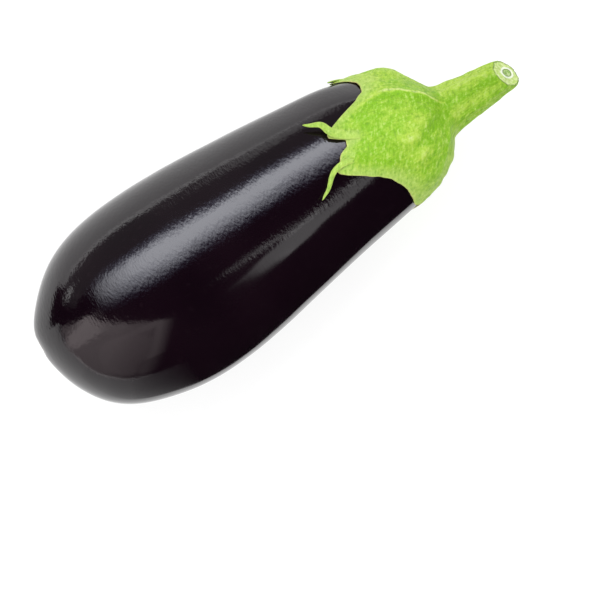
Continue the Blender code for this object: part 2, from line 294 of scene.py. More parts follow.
HORN_SHADE, HORN_DULL = 0.45, 0.7

# The view is straight down on the fruit, turned so that its long axis rises to the right.
VIEW_ROLL = math.radians(30.55)
VIEW_CENTRE = Vector((-0.010809, -0.030577, 0.034))
PIXEL = 0.3865 * MM
VIEW_WIDTH = 600 * PIXEL
VIEW_DISTANCE = 1.6


def spline(guides, steps):
    """A uniform cubic B-spline over guide points, with so many steps between two of them."""
    t = np.arange(steps)[:, None] / steps
    weights = ((1 - t) ** 3, 3 * t**3 - 6 * t**2 + 4, -3 * t**3 + 3 * t**2 + 3 * t + 1, t**3)
    spans = [
        sum(w * guides[i + k] for k, w in enumerate(weights)) / 6 for i in range(len(guides) - 3)
    ]
    end = (guides[-3] + 4 * guides[-2] + guides[-1]) / 6
    return np.vstack(spans + [end[None]])


def fruit_outline():
    """The spline over the fruit's guide points, mirrored over the axis past both ends."""
    first = FRUIT_GUIDES[1] * (1, -1)
    last = FRUIT_GUIDES[-2] * (1, -1)
    return spline(np.vstack([first, FRUIT_GUIDES, last]), 60)[::-1]


OUTLINE = fruit_outline()
OUTLINE_REACH = np.concatenate([[0.0], np.cumsum(np.linalg.norm(np.diff(OUTLINE, axis=0), axis=1))])
SLOPE = np.gradient(OUTLINE, OUTLINE_REACH, axis=0)
NORMAL = np.stack([SLOPE[:, 1], -SLOPE[:, 0]], axis=1)
SKIN_REACH = OUTLINE_REACH[-1]


def skin(reach, angle, height=0.0):
    """The outline's point at the reach, plus height along its normal, is swung round the axis.

    Three swells are added to the height: each is a bell along the fruit, times the squared sine
    of the angle on its own side.

    The height of a section is a fixed share of its width. The axis bows aside as one sine and
    snakes as another, leans aside near the tip, and sags as a third sine.
    """
    reach, angle, height = np.broadcast_arrays(reach, angle, height)
    along, radius, lean, rise = (
        np.interp(reach, OUTLINE_REACH, values) for values in (*OUTLINE.T, *NORMAL.T)
    )
    for side, middle, half, swell in SWELLS:
        bulge = np.clip(side * np.sin(angle), 0, 1) ** 2 * bell(along / MM - middle, half)
        height = height + swell * MM * bulge
    out = radius + height * rise
    share = along / FRUIT_LENGTH
    bow = SIDE_BOW * np.sin(math.pi * share) + SIDE_SNAKE * np.sin(TURN * share)
    sway = -bow - TIP_LEAN * along / TIP_REACH * np.exp(1 - along / TIP_REACH)
    sag = -BELLY_SAG * np.sin(math.pi * share)
    return np.stack(
        [
            along + height * lean,
            sway + out * np.sin(angle),
            sag + HEIGHT_SHARE * out * np.cos(angle),
        ],
        axis=-1,
    )


def at_rest(points):
    """Points tilted about Y into the resting pose and moved to the row's origin."""
    lean = np.array(
        (
            (math.cos(TILT), 0, math.sin(TILT)),
            (0, 1, 0),
            (-math.sin(TILT), 0, math.cos(TILT)),
        )
    )
    return points @ lean.T - REST_ORIGIN


def waves(points, length, count, seed):
    """Smooth unevenness from -1 to 1 or so: a sum of plane waves of about one length, in space.

    Each wave is the cosine of the point along a random direction, over the length, plus a phase.
    """
    rng = np.random.default_rng(seed)
    aims = rng.normal(size=(count, 3))
    aims /= np.linalg.norm(aims, axis=1)[:, None]
    pace = TURN / (length * rng.uniform(0.75, 1.35, count))
    phase = rng.uniform(0, TURN, count)
    total = np.zeros(points.shape[:-1])
    for aim, beat, start in zip(aims, pace, phase):
        total += np.cos(points @ aim * beat + start)
    return total / math.sqrt(count)


def wave_sum(points, rows):
    """Waves of several lengths added up, in millimetres."""
    return sum(height * waves(points, length * MM, count, seed) for height, length, count, seed in rows)


def turn(angle, towards):
    """Degrees from one direction to another, from -180 to 180."""
    return (np.degrees(angle) - towards + 180) % 360 - 180


def bell(value, width):
    """A bell curve: 1 at 0, and 0.37 at the width."""
    return np.exp(-((value / width) ** 2))


def smooth_step(value, low, high):
    """0 below low, 1 above high, and an S curve between."""
    t = np.clip((value - low) / (high - low), 0, 1)
    return t * t * (3 - 2 * t)


def grid_faces(rings, columns):
    """Corner numbers and sizes of the faces between rings whose first and last are single points.

    The corners run so that the faces look outward.
    """
    last = 1 + (rings - 2) * columns
    ring = np.arange(rings - 3)[:, None] * columns
    here = np.arange(columns)[None, :]
    after = (here + 1) % columns
    quads = 1 + np.stack(
        [ring + here, ring + after, ring + columns + after, ring + columns + here], axis=-1
    ).reshape(-1, 4)
    edge = np.arange(columns)
    beside = (edge + 1) % columns
    top = np.stack([np.zeros(columns, int), 1 + beside, 1 + edge], axis=-1)
    foot = 1 + (rings - 3) * columns
    bottom = np.stack([np.full(columns, last), foot + edge, foot + beside], axis=-1)
    corners = np.concatenate([top.ravel(), quads.ravel(), bottom.ravel()])
    sizes = np.concatenate([np.full(columns, 3), np.full(len(quads), 4), np.full(columns, 3)])
    return corners, sizes


def pack_rings(values):
    """A grid's values as one list, with one entry for its first ring and one for its last."""
    return np.concatenate([values[0, :1], values[1:-1].reshape(-1, *values.shape[2:]), values[-1, :1]])


def grid_piece(name, grids):
    """One object of closed surfaces. Each is a grid of rings of points, with named values on them."""
    verts, corners, sizes, layers, start = [], [], [], {}, 0
    for points, values in grids:
        packed = pack_rings(points)
        loops, counts = grid_faces(*points.shape[:2])
        verts.append(packed)
        corners.append(loops + start)
        sizes.append(counts)
        start += len(packed)
        for label, layer in values.items():
            layers.setdefault(label, []).append(pack_rings(layer))
    verts, corners, sizes = (np.concatenate(parts) for parts in (verts, corners, sizes))
    mesh = bpy.data.meshes.new(name)
    mesh.vertices.add(len(verts))
    mesh.vertices.foreach_set("co", verts.astype(np.float32).ravel())
    mesh.loops.add(len(corners))
    mesh.loops.foreach_set("vertex_index", corners.astype(np.int32))
    mesh.polygons.add(len(sizes))
    starts = np.concatenate([[0], np.cumsum(sizes)[:-1]])
    mesh.polygons.foreach_set("loop_start", starts.astype(np.int32))
    mesh.update(calc_edges=True)
    mesh.validate()
    mesh.shade_smooth()
    for label, parts in layers.items():
        flat = np.concatenate(parts).astype(np.float32)
        if flat.ndim == 1:
            mesh.attributes.new(label, "FLOAT", "POINT").data.foreach_set("value", flat)
        else:
            mesh.attributes.new(label, "FLOAT_VECTOR", "POINT").data.foreach_set("vector", flat.ravel())
    piece = bpy.data.objects.new(name, mesh)
    bpy.context.scene.collection.objects.link(piece)
    return piece


# The fruit


def fruit_relief(reach, angle, points):
    """Height of the skin's unevenness, at most 0.3 mm above the part's own skin.

    Soft ribs of several counts fade with the square of the reach from the shoulder. Broad and
    middling waves make the skin slightly uneven, and the blossom scar is a bell-shaped dimple.
    """
    ribs = sum(share * np.cos(count * angle + phase) for count, phase, share in RIBS)
    relief = RIB_HEIGHT * bell(reach, RIB_FADE) * ribs + wave_sum(points, SKIN_WAVES) * MM
    relief = relief - SCAR_DEPTH * bell(SKIN_REACH - reach, SCAR_RADIUS)
    return relief - SKIN_SINK


def make_fruit():
    """The skin over a full turn, from the shoulder to the blossom tip, pressed flat at the floor."""
    crowded = (1 - np.cos(np.linspace(0, math.pi, SKIN_RINGS))) / 2
    even = np.linspace(0, 1, SKIN_RINGS)
    reach = (SKIN_REACH * (END_CROWD * crowded + (1 - END_CROWD) * even))[:, None]
    angle = (np.arange(SKIN_COLUMNS) * TURN / SKIN_COLUMNS)[None, :]
    plain = skin(reach, angle)
    points = at_rest(skin(reach, angle, fruit_relief(reach, angle, plain)))
    points[..., 2] = np.maximum(points[..., 2], 0.0)
    from_tip = (SKIN_REACH - reach + 0 * angle) / MM
    return grid_piece("fruit_skin", [(points, {"from_tip": from_tip})])


# The calyx and the stem


def column_angles(count):
    """Angles round the axis, set closer in a bell by each sepal's point and in the torn notch."""
    fine = np.radians(np.linspace(-180, 180, 7201))
    crowd = 1 + sum(POINT_CROWD * bell(turn(fine, sepal), POINT_SPREAD) for sepal in SEPALS)
    crowd = crowd + NOTCH_CROWD * bell(turn(fine, NOTCH), NOTCH_SPREAD)
    total = np.concatenate([[0.0], np.cumsum(crowd[1:])])
    return np.interp(np.arange(count) * total[-1] / count, total, fine)


def rim_reach(angle):
    """Reach of the calyx's rim: the rim's guide points joined, softened over a degree, and frayed."""
    fine = np.arange(-200.0, 200.0, RIM_STEP)
    line = np.interp((fine + 180) % 360 - 180, *np.array(RIM).T)
    weights = bell(np.arange(-30, 31) * RIM_STEP, RIM_SOFT)
    line = np.convolve(line, weights / weights.sum(), mode="same")
    around = RIM_RADIUS * np.stack([np.cos(angle), np.sin(angle), 0 * angle], axis=-1)
    fray = wave_sum(around, RIM_WAVES)
    fray = fray + wave_sum(around, NOTCH_WAVES) * bell(turn(angle, NOTCH), NOTCH_SPREAD)
    return (np.interp(turn(angle, 0.0), fine, line) + fray) * MM


def ridges(angle):
    """One soft bell-shaped ridge down the middle of each sepal."""
    return sum(bell(turn(angle, sepal), RIDGE_WIDTH) for sepal in SEPALS)


def off_line(reach, angle, line):
    """Degrees from a line across the cap, which gives its angle at each reach."""
    return turn(angle, np.interp(reach / MM, *line))


def folded(reach, angle, folds):
    """Folds added up, each a bell across its line times a bell along the reach."""
    total = 0
    for fold in folds:
        across = bell(off_line(reach, angle, fold.line) - fold.beside, fold.width)
        total = total + fold.height * across * bell(reach - fold.reach * MM, fold.length * MM)
    return total


def spotted(reach, angle, spots):
    """Spots added up, each a bell of the distance over the cap, taking the cap as flat there."""
    total = 0
    for spot in spots:
        across = np.radians(turn(angle, spot.angle)) * CAP_RADIUS
        distance = np.hypot(reach - spot.reach * MM, across)
        total = total + spot.height * bell(distance, spot.radius * MM)
    return total


def cap_folds(reach, angle):
    """The cap's own folds: a keen crease, a blunt fold, three hollows, two bumps and a dome."""
    start = smooth_step(reach, FOLD_START, FOLD_FULL)
    folds = start * folded(reach, angle, FOLDS) + folded(reach, angle, (DOME,))
    return (folds + spotted(reach, angle, BUMPS)) * MM


def cap_relief(reach, angle, rim):
    """Height of the cap's outer face over its lining.

    The body thins to the rim by the fourth power of the share, and is thinner on the near side.
    A flare swells it at the stem, more on top than at the sides. Each sepal has a ridge. Waves of
    three lengths make the face lumpy, and calm down at the rim.
    """
    share = reach / rim
    thin = bell(turn(angle, THIN_SIDE), THIN_SPREAD) * smooth_step(reach, THIN_START, THIN_END)
    body = (CAP_THICKNESS - EDGE_THICKNESS) * (1 - share**4) * (1 - THIN_SHARE * thin)
    top = bell(turn(angle, FLARE_SIDE), FLARE_SPREAD)
    fade = CAP_FLARE_FADE * (1 + FLARE_LONGER * top)
    flare = CAP_FLARE * (1 + FLARE_HIGHER * top) * np.exp(-(reach - CAP_START) / fade)
    inner = np.sin(math.pi * np.clip(share, 0, 1)) ** 2
    ridge = RIDGE_HEIGHT * ridges(angle) * inner
    lumps = wave_sum(skin(reach, angle), CAP_WAVES) * MM
    calm = smooth_step(rim - reach, RIM_ROUND, CALM_REACH)
    folds = cap_folds(reach, angle) * calm
    return EDGE_THICKNESS + body + flare + ridge + folds + lumps * (0.2 + 0.8 * calm)


def stem_point(distance, angle, radius):
    """A point round the stem's axis, an arc that leaves the fruit's axis and bends up."""
    bend = distance / STEM_LENGTH * STEM_BEND
    bow = STEM_LENGTH / STEM_BEND
    up = radius * np.cos(angle)
    return np.stack(
        [
            STEM_ROOT + bow * np.sin(bend) - up * np.sin(bend),
            radius * np.sin(angle) + STEM_SIDE,
            bow * (1 - np.cos(bend)) + up * np.cos(bend),
        ],
        axis=-1,
    )


def stem_radius(distance, angle):
    """Radius of the stem: it tapers from a wide foot, has blunt corners and draws in at its end.

    The corners are bells of the angle, which fade by the sixth power of the distance. The end
    draws in by the square of the distance. Cosines of high counts, whose phase wanders along the
    stem, give it its fibres.
    """
    foot = STEM_FOOT * np.clip(1 - distance / STEM_LENGTH, 0, 1) ** 1.2
    corners = CORNER_SHARE * (sum(bell(turn(angle, c), CORNER_WIDTH) for c in STEM_CORNERS) - 0.5)
    corners = corners * (1 - 0.5 * (distance / STEM_LENGTH) ** 6)
    plain = STEM_RADIUS + foot
    place = stem_point(distance, angle, plain + 0 * angle)
    wander = waves(place, *FIBRE_WANDER)
    fibres = sum(share * np.cos(count * angle + sway * wander) for count, sway, share in FIBRES)
    drawn = END_SHARE * np.clip((distance - STEM_LENGTH + STEM_END) / STEM_END, 0, 1) ** 2
    relief = FIBRE_HEIGHT * fibres + wave_sum(place, STEM_WAVES) - STEM_SINK
    return plain * (1 + corners) * (1 - drawn) + relief * MM


def slant(angle):
    """How far the slanted cut leans back at an angle, as a share of the radius."""
    return CUT_SLANT * np.cos(angle) + CUT_SKEW * np.sin(angle)


def from_core(share, angle):
    """Distance over the cut face from the middle of its oval ring of wood, in shares of the radius."""
    up, across = share * np.cos(angle) - CORE_OFFSET[0], share * np.sin(angle) - CORE_OFFSET[1]
    return np.hypot(CORE_OVAL * up, across)


def cut_relief(core):
    """The cut face's relief: bells of the distance from the middle of its ring of wood."""
    return sum(height * bell(core - place, width) for height, place, width in CUT_FORMS) * MM


def calyx_rings(angle):
    """Rings from the middle of the cut, down the stem, over the cap, round its rim and back inside."""
    rim = rim_reach(angle)
    rings, notes = [], {"cut": [], "core": [], "edge": [], "shade": [], "dull": [], "lay": []}

    def add(points, **values):
        rings.append(points)
        values = {"cut": 2.0, "core": 9.0, "edge": 30.0, "shade": 0.3, "dull": 0.0} | values
        for label, column in notes.items():
            column.append(values[label] + 0 * angle if label != "lay" else values[label])

    def lay(down):
        return np.stack([np.cos(angle), np.sin(angle), down + 0 * angle], axis=-1)

    end = stem_radius(np.full_like(angle, STEM_LENGTH), angle)
    for share in np.linspace(0, 1, CUT_RINGS):
        radius = share * (end - CUT_ROUND)
        core = from_core(share, angle)
        depth = STEM_LENGTH - slant(angle) * radius + cut_relief(core)
        add(stem_point(depth, angle, radius), cut=share, core=core, lay=lay(CUT_LAY))
    for distance in np.linspace(STEM_LENGTH - CUT_ROUND, STEM_START, STEM_RINGS):
        radius = stem_radius(np.full_like(angle, distance), angle)
        back = slant(angle) * radius * (distance / STEM_LENGTH) ** 3
        point = stem_point(distance - back, angle, radius)
        add(point, shade=stem_paleness_and_painted_light(angle), lay=lay(STEM_START - distance - LAY_STEP))
    for share in np.linspace(0, 1, CAP_RINGS) ** CAP_BUNCH:
        reach = CAP_START + (rim - RIM_ROUND - CAP_START) * share
        point = skin(reach, angle, SKIN_GAP + cap_relief(reach, angle, rim))
        tint = {"shade": cap_paleness_and_painted_light(reach, angle, rim), "dull": cap_dull(reach, angle, rim)}
        add(point, edge=(rim - reach) / MM, lay=lay(reach - CAP_START), **tint)
    thick = cap_relief(rim, angle, rim)
    for swing in math.pi * np.array((0.25, 0.5, 0.75)):
        reach = rim - RIM_ROUND + RIM_ROUND * math.sin(swing)
        point = skin(reach, angle, SKIN_GAP + thick * (1 + math.cos(swing)) / 2)
        add(point, edge=0.0, shade=0.6, dull=0.7, lay=lay(rim - CAP_START))
    for share in np.linspace(1, 0, LINING_RINGS):
        reach = (rim - RIM_ROUND) * share
        add(skin(reach, angle, SKIN_GAP), edge=0.0, lay=lay(reach - CAP_START))
    rings = smooth_join(np.array(rings), angle)
    return rings, {label: np.array(column) for label, column in notes.items()}


def smooth_join(rings, angle):
    """Rings blended into one another where the stem meets the cap, most on top.

    A ring moves again and again towards the mean of its two neighbours, by a bell over the rings.
    """
    over = bell(np.arange(len(rings)) - JOIN_RING, JOIN_WIDTH)[:, None, None]
    around = JOIN_LEAST + (1 - JOIN_LEAST) * bell(turn(angle, 0.0), JOIN_SPREAD)[None, :, None]
    weight = (over * around)[1:-1]
    for _ in range(JOIN_PASSES):
        mean = (rings[:-2] + rings[2:]) / 2
        rings[1:-1] += 0.5 * weight * (mean - rings[1:-1])
    return rings


def stem_paleness_and_painted_light(angle):
    """How pale the stem is: a painted highlight along its upper corner, dark along its middle, and
    painted shade down its near side.
    """
    stripes = (strength * bell(turn(angle, middle), width) for strength, middle, width in STEM_STRIPES_AND_PAINTED_LIGHT)
    return STEM_SHADE + sum(stripes)


def cap_paleness_and_painted_light(reach, angle, rim):
    """How pale the cap is: pale at its rim and upper face, a painted highlight along the crease and on
    the bumps, and painted shade below the crease and in its hollows.
    """
    margin = 1 - smooth_step((rim - reach) / MM, *RIM_SHADE_SPAN)
    tints_and_painted_light = folded(reach, angle, CAP_TINTS_AND_PAINTED_LIGHT) + spotted(reach, angle, PAINTED_BUMP_HIGHLIGHTS)
    return CAP_SHADE + RIM_SHADE * margin + tints_and_painted_light


def cap_dull(reach, angle, rim):
    """How greyish the cap's green is: most at its own rim, and as painted shade down its near side."""
    margin = RIM_DULL * (1 - smooth_step((rim - reach) / MM, *RIM_DULL_SPAN))
    around = turn(angle, 0.0)
    side = smooth_step(around, *PAINTED_SIDE_SHADE_FROM) * smooth_step(around, *PAINTED_SIDE_SHADE_TO)
    return np.maximum(margin, PAINTED_SIDE_SHADE * side)


def horn_grid(horn):
    """A curled strip along a smooth path over the skin, sunk at its root and blunt at its tip.

    Its section is an ellipse whose edges stand up by the square of the distance from its middle,
    but not at its root. The strip narrows by a power of the share, and at the tip as a square root.
    """
    guides = np.array(horn.guides) * (math.radians(1), MM, MM)
    guides = np.vstack([guides[:1], guides[:1], guides, guides[-1:], guides[-1:]])
    angle, reach, height = spline(guides, HORN_STEPS).T
    middle = skin(reach, angle, height)
    out = skin(reach, angle, height + MM) - middle
    ahead = np.gradient(middle, axis=0)
    ahead /= np.linalg.norm(ahead, axis=1)[:, None]
    side = np.cross(out, ahead)
    side /= np.linalg.norm(side, axis=1)[:, None]
    out = np.cross(ahead, side)
    steps = np.linalg.norm(np.diff(middle, axis=0), axis=1)
    share = np.concatenate([[0.0], np.cumsum(steps)])
    share = (share / share[-1])[:, None]
    twist = np.radians(horn.twist) * share**2
    half = horn.width / 2 * MM * (1.5 - 0.7 * share**0.7) * np.sqrt(1 - share**horn.blunt)
    phi = (np.arange(HORN_SIDES) * TURN / HORN_SIDES)[None, :]
    across = half * np.cos(phi)
    curl = horn.curl * smooth_step(share, 0.2, 0.55)
    up = HORN_FLAT * half * np.sin(phi) + curl * half * np.cos(phi) ** 2
    x = across * np.cos(twist) - up * np.sin(twist)
    z = across * np.sin(twist) + up * np.cos(twist)
    points = middle[:, None] + side[:, None] * x[..., None] + out[:, None] * z[..., None]
    points[0], points[-1] = points[0].mean(axis=0), points[-1].mean(axis=0)
    shape = points.shape[:2]
    lay = np.stack([np.cos(angle), np.sin(angle), reach - CAP_START], axis=-1)
    lay = lay[:, None] + 0.03 * np.stack([np.cos(phi), np.sin(phi), 0 * phi], axis=-1)
    edge = np.broadcast_to(0.5 + 2.0 * (1 - np.abs(np.cos(phi))), shape)
    notes = {"cut": np.full(shape, 2.0), "core": np.full(shape, 9.0), "edge": edge}
    notes |= {"shade": np.full(shape, HORN_SHADE), "dull": np.full(shape, HORN_DULL)}
    notes["lay"] = np.broadcast_to(lay, (*shape, 3))
    return points, notes


def make_calyx():
    """The calyx and stem as one closed surface of rings over a full turn, with its sepals' horns."""
    grids = [calyx_rings(column_angles(CALYX_COLUMNS))] + [horn_grid(horn) for horn in HORNS]
    grids = [(at_rest(points), notes) for points, notes in grids]
    return grid_piece("calyx_and_stem_green", grids)


# Finishes

# Colours as linear red, green, blue and cover. A pair goes from dark to pale.
SKIN = ((0.0034, 0.0010, 0.0027, 1), (0.0054, 0.0018, 0.0040, 1))
SKIN_FLECK = (0.012, 0.006, 0.009, 1)
CORK = ((0.055, 0.030, 0.018, 1), (0.20, 0.13, 0.075, 1))
GREEN = ((0.175, 0.385, 0.0, 1), (0.345, 0.51, 0.045, 1))
# The palest green is also the colour of the painted highlights on the crease and the bumps.
GREEN_PALEST_AND_HIGHLIGHT = (0.50, 0.60, 0.20, 1)
GREEN_DULL_AND_SHADE = (0.31, 0.445, 0.095, 1)
STROKES = ((0.11, 0.26, 0.01, 1), (0.48, 0.62, 0.16, 1))
RIM_PALE = (0.42, 0.52, 0.13, 1)
RIM_TAN = (0.42, 0.30, 0.14, 1)
RIND = ((0.44, 0.60, 0.14, 1), (0.64, 0.76, 0.34, 1))
WOOD = ((0.80, 0.87, 0.66, 1), (0.90, 0.94, 0.80, 1))
PITH = ((0.26, 0.46, 0.08, 1), (0.62, 0.76, 0.36, 1))
CUT_LINE = (0.10, 0.15, 0.03, 1)
PITH_LINE = (0.20, 0.32, 0.06, 1)

WRINKLES = (1300.0, 560.0, 560.0)  # per metre along X, Y and Z
DIMPLES = (300.0, 170.0, 170.0)
WRINKLE_DEPTH, DIMPLE_DEPTH = 0.08 * MM, 0.06 * MM
SMOOTH_SIDE = (-0.011, -0.001, 0.06, 1.0)  # they fade to this share between two places on Y
SCAR_EDGE = (3.2, 2.4)  # in millimetres from the tip
BRUSH_AIM = -59.5  # in degrees
GREEN_DEPTH = 0.30 * MM
BLOT_DEPTH = 0.35 * MM


class Finish:
    """A material under construction: a Principled shader and the nodes that feed it."""

    def __init__(self, name, roughness):
        self.material = bpy.data.materials.new(name)
        self.material.use_nodes = True
        self.tree = self.material.node_tree
        self.shader = self.tree.nodes["Principled BSDF"]
        self.shader.inputs["Roughness"].default_value = roughness
        self.place = self.node("ShaderNodeTexCoord").outputs["Object"]

    def node(self, kind, **settings):
        """A new node with some of its settings."""
        made = self.tree.nodes.new(kind)
        for key, value in settings.items():
            setattr(made, key, value)
        return made

    def feed(self, socket, value):
        """Links an output to a socket, or sets a plain value on it."""
        if isinstance(value, bpy.types.NodeSocket):
            self.tree.links.new(value, socket)
        else:
            socket.default_value = value

    def along(self, axis):
        """One object coordinate: 0 is X, 1 is Y and 2 is Z."""
        made = self.node("ShaderNodeSeparateXYZ")
        self.feed(made.inputs[0], self.place)
        return made.outputs[axis]

    def stretched(self, scale, where=None):
        """Coordinates scaled by three numbers."""
        made = self.node("ShaderNodeMapping")
        self.feed(made.inputs["Vector"], self.place if where is None else where)
        made.inputs["Scale"].default_value = scale
        return made.outputs["Vector"]

    def aimed(self, degrees):
        """Object coordinates turned about Z."""
        made = self.node("ShaderNodeVectorRotate", rotation_type="Z_AXIS")
        self.feed(made.inputs["Vector"], self.place)
        made.inputs["Angle"].default_value = math.radians(degrees)
        return made.outputs["Vector"]

    def noise(self, scale, detail=2.0, where=None, rough=0.5):
        """Soft noise from 0 to 1, over object coordinates unless others are given."""
        made = self.node("ShaderNodeTexNoise")
        self.feed(made.inputs["Vector"], self.place if where is None else where)
        made.inputs["Scale"].default_value = scale
        made.inputs["Detail"].default_value = detail
        made.inputs["Roughness"].default_value = rough
        return made.outputs["Fac"]

    def span(self, value, low, high, to_low=0.0, to_high=1.0):
        """A value moved from one range to another, and held at the ends."""
        made = self.node("ShaderNodeMapRange")
        self.feed(made.inputs["Value"], value)
        made.inputs["From Min"].default_value = low
        made.inputs["From Max"].default_value = high
        made.inputs["To Min"].default_value = to_low
        made.inputs["To Max"].default_value = to_high
        return made.outputs["Result"]

    def math(self, operation, first, second):
        """A sum, a product or the like of two values."""
        made = self.node("ShaderNodeMath", operation=operation)
        self.feed(made.inputs[0], first)
        self.feed(made.inputs[1], second)
        return made.outputs[0]

    def mix(self, share, first, second):
        """A colour part of the way from the first to the second."""
        made = self.node("ShaderNodeMix", data_type="RGBA")
        self.feed(made.inputs["Factor"], share)
        self.feed(made.inputs["A"], first)
        self.feed(made.inputs["B"], second)
        return made.outputs["Result"]

    def attribute(self, name, output="Fac"):
        """One of the piece's own layers of values."""
        return self.node("ShaderNodeAttribute", attribute_name=name).outputs[output]

    def bump(self, height, depth, under=None):
        """Bump of a depth in metres, on top of another bump."""
        made = self.node("ShaderNodeBump")
        made.inputs["Distance"].default_value = depth
        self.feed(made.inputs["Height"], height)
        if under is not None:
            self.feed(made.inputs["Normal"], under)
        return made.outputs["Normal"]


def skin_finish():
    """Near-black purple skin: glossy, with fine wrinkles round it, and a corky brown blossom scar.

    The wrinkles and the dimples fade out over the near side.
    """
    made = Finish("eggplant skin", 0.12)
    shader = made.shader
    base = made.mix(made.span(made.noise(28.0, 3.0), 0.35, 0.7), *SKIN)
    base = made.mix(made.span(made.noise(420.0, 2.0), 0.62, 0.8, 0.0, 0.3), base, SKIN_FLECK)
    cork = made.noise(900.0, 3.0)
    ragged = made.math("ADD", made.attribute("from_tip"), made.span(cork, 0.3, 0.7, -0.8, 0.8))
    scar = made.span(ragged, *SCAR_EDGE)
    made.feed(shader.inputs["Base Color"], made.mix(scar, base, made.mix(cork, *CORK)))
    sheen = made.span(made.noise(60.0, 3.0), 0.3, 0.7, 0.08, 0.12)
    made.feed(shader.inputs["Roughness"], made.math("MAXIMUM", sheen, made.math("MULTIPLY", scar, 0.7)))
    shader.inputs["IOR"].default_value = 1.5
    far = made.span(made.along(1), *SMOOTH_SIDE)
    wrinkles = made.math("MULTIPLY", made.noise(1.0, 2.0, made.stretched(WRINKLES)), far)
    dimples = made.math("MULTIPLY", made.noise(1.0, 2.0, made.stretched(DIMPLES)), far)
    under = made.bump(dimples, DIMPLE_DEPTH)
    made.feed(shader.inputs["Normal"], made.bump(wrinkles, WRINKLE_DEPTH, under))
    return made.material


def calyx_finish():
    """Yellow-green calyx: mottled with short strokes along the sepals, a pale rim and a ringed cut."""
    made = Finish("calyx green", 0.55)
    shader = made.shader
    lay = made.attribute("lay", "Vector")
    patches = made.noise(110.0, 4.0, rough=0.6)
    blots = made.noise(1.0, 4.0, made.stretched((13.0, 13.0, 330.0), lay), 0.7)
    # The shade layer brings painted highlights and painted shade into the green, as well as its own
    # paleness.
    broad = made.math("ADD", made.attribute("shade"), made.span(patches, 0.3, 0.7, -0.22, 0.22))
    broad = made.math("ADD", broad, made.span(blots, 0.3, 0.7, -0.42, 0.42))
    green = made.mix(made.span(broad, 0.0, 0.8), *GREEN)
    green = made.mix(made.span(broad, 0.85, 1.5), green, GREEN_PALEST_AND_HIGHLIGHT)
    # Greyish green at the rim and on the horns, and painted shade down the cap's near side.
    dull = made.math("MULTIPLY", made.attribute("dull"), made.span(blots, 0.35, 0.6, 1.0, 0.65))
    green = made.mix(dull, green, GREEN_DULL_AND_SHADE)
    strokes = made.noise(1.0, 3.0, made.stretched((44.0, 44.0, 380.0), lay), 0.65)
    flecks = made.noise(900.0, 3.0, rough=0.65)
    brush = made.noise(1.0, 3.0, made.stretched((300.0, 950.0, 600.0), made.aimed(BRUSH_AIM)), 0.6)
    speckle = made.math("ADD", made.math("MULTIPLY", strokes, 0.2), made.math("MULTIPLY", flecks, 0.3))
    speckle = made.math("ADD", speckle, made.math("MULTIPLY", brush, 0.5))
    green = made.mix(made.span(speckle, 0.51, 0.64, 0.0, 0.65), green, STROKES[1])
    green = made.mix(made.span(speckle, 0.49, 0.37, 0.0, 0.7), green, STROKES[0])
    edge = made.attribute("edge")
    green = made.mix(made.span(edge, 1.3, 0.4, 0.0, 0.5), green, RIM_PALE)
    tan = made.span(made.noise(160.0, 2.0), 0.4, 0.6, 0.25, 0.8)
    tan = made.math("MULTIPLY", tan, made.span(edge, 0.25, 0.05))
    green = made.mix(tan, green, RIM_TAN)
    made.feed(shader.inputs["Base Color"], cut_colours(made, green))
    made.feed(shader.inputs["Roughness"], made.span(patches, 0.3, 0.7, 0.46, 0.62))
    shader.inputs["Specular IOR Level"].default_value = 0.25
    shader.inputs["Subsurface Weight"].default_value = 0.12
    shader.inputs["Subsurface Scale"].default_value = 1.5 * MM
    shader.inputs["Subsurface Radius"].default_value = (0.7, 1.0, 0.3)
    under = made.bump(blots, BLOT_DEPTH, made.bump(strokes, GREEN_DEPTH))
    made.feed(shader.inputs["Normal"], made.bump(flecks, GREEN_DEPTH, under))
    return made.material


def cut_colours(made, green):
    """Over the green, the cut: a dark skin line, pale rind, a white ring of wood, and green pith.

    The places are shares of the stem's radius, and the rings' are ragged by a little noise.
    """
    cut = made.attribute("cut")
    grain = made.noise(900.0, 3.0)
    ragged = made.span(made.noise(300.0), 0.3, 0.7, -0.02, 0.02)
    core = made.math("ADD", made.attribute("core"), ragged)
    patchy = made.span(grain, 0.4, 0.6)
    broken = made.span(made.noise(420.0), 0.35, 0.6, 0.5, 1.0)
    line = made.math("MULTIPLY", made.span(cut, 0.925, 0.96), broken)
    colour = made.mix(line, made.mix(patchy, *RIND), CUT_LINE)
    colour = made.mix(made.span(core, 0.48, 0.44), colour, made.mix(grain, *WOOD))
    colour = made.mix(made.span(core, 0.335, 0.305), colour, PITH_LINE)
    colour = made.mix(made.span(core, 0.28, 0.23), colour, made.mix(patchy, *PITH))
    return made.mix(made.span(cut, 1.01, 1.02), colour, green)


def floor_finish():
    """A plain matte pale floor that glows a little, so that shadows on it stay faint."""
    made = Finish("floor white", 0.9)
    made.shader.inputs["Base Color"].default_value = (0.26, 0.26, 0.26, 1)
    made.shader.inputs["Emission Color"].default_value = (1, 1, 1, 1)
    made.shader.inputs["Emission Strength"].default_value = 0.76
    made.shader.inputs["Specular IOR Level"].default_value = 0.0
    return made.material


def board_finish(fade):
    """Matte black, see-through by the rest of a share that fade spans over two places on X."""
    made = Finish("board black", 1.0)
    made.shader.inputs["Base Color"].default_value = (0.01, 0.01, 0.01, 1)
    made.shader.inputs["Specular IOR Level"].default_value = 0.0
    if fade:
        made.feed(made.shader.inputs["Alpha"], made.span(made.along(0), *fade))
    return made.material


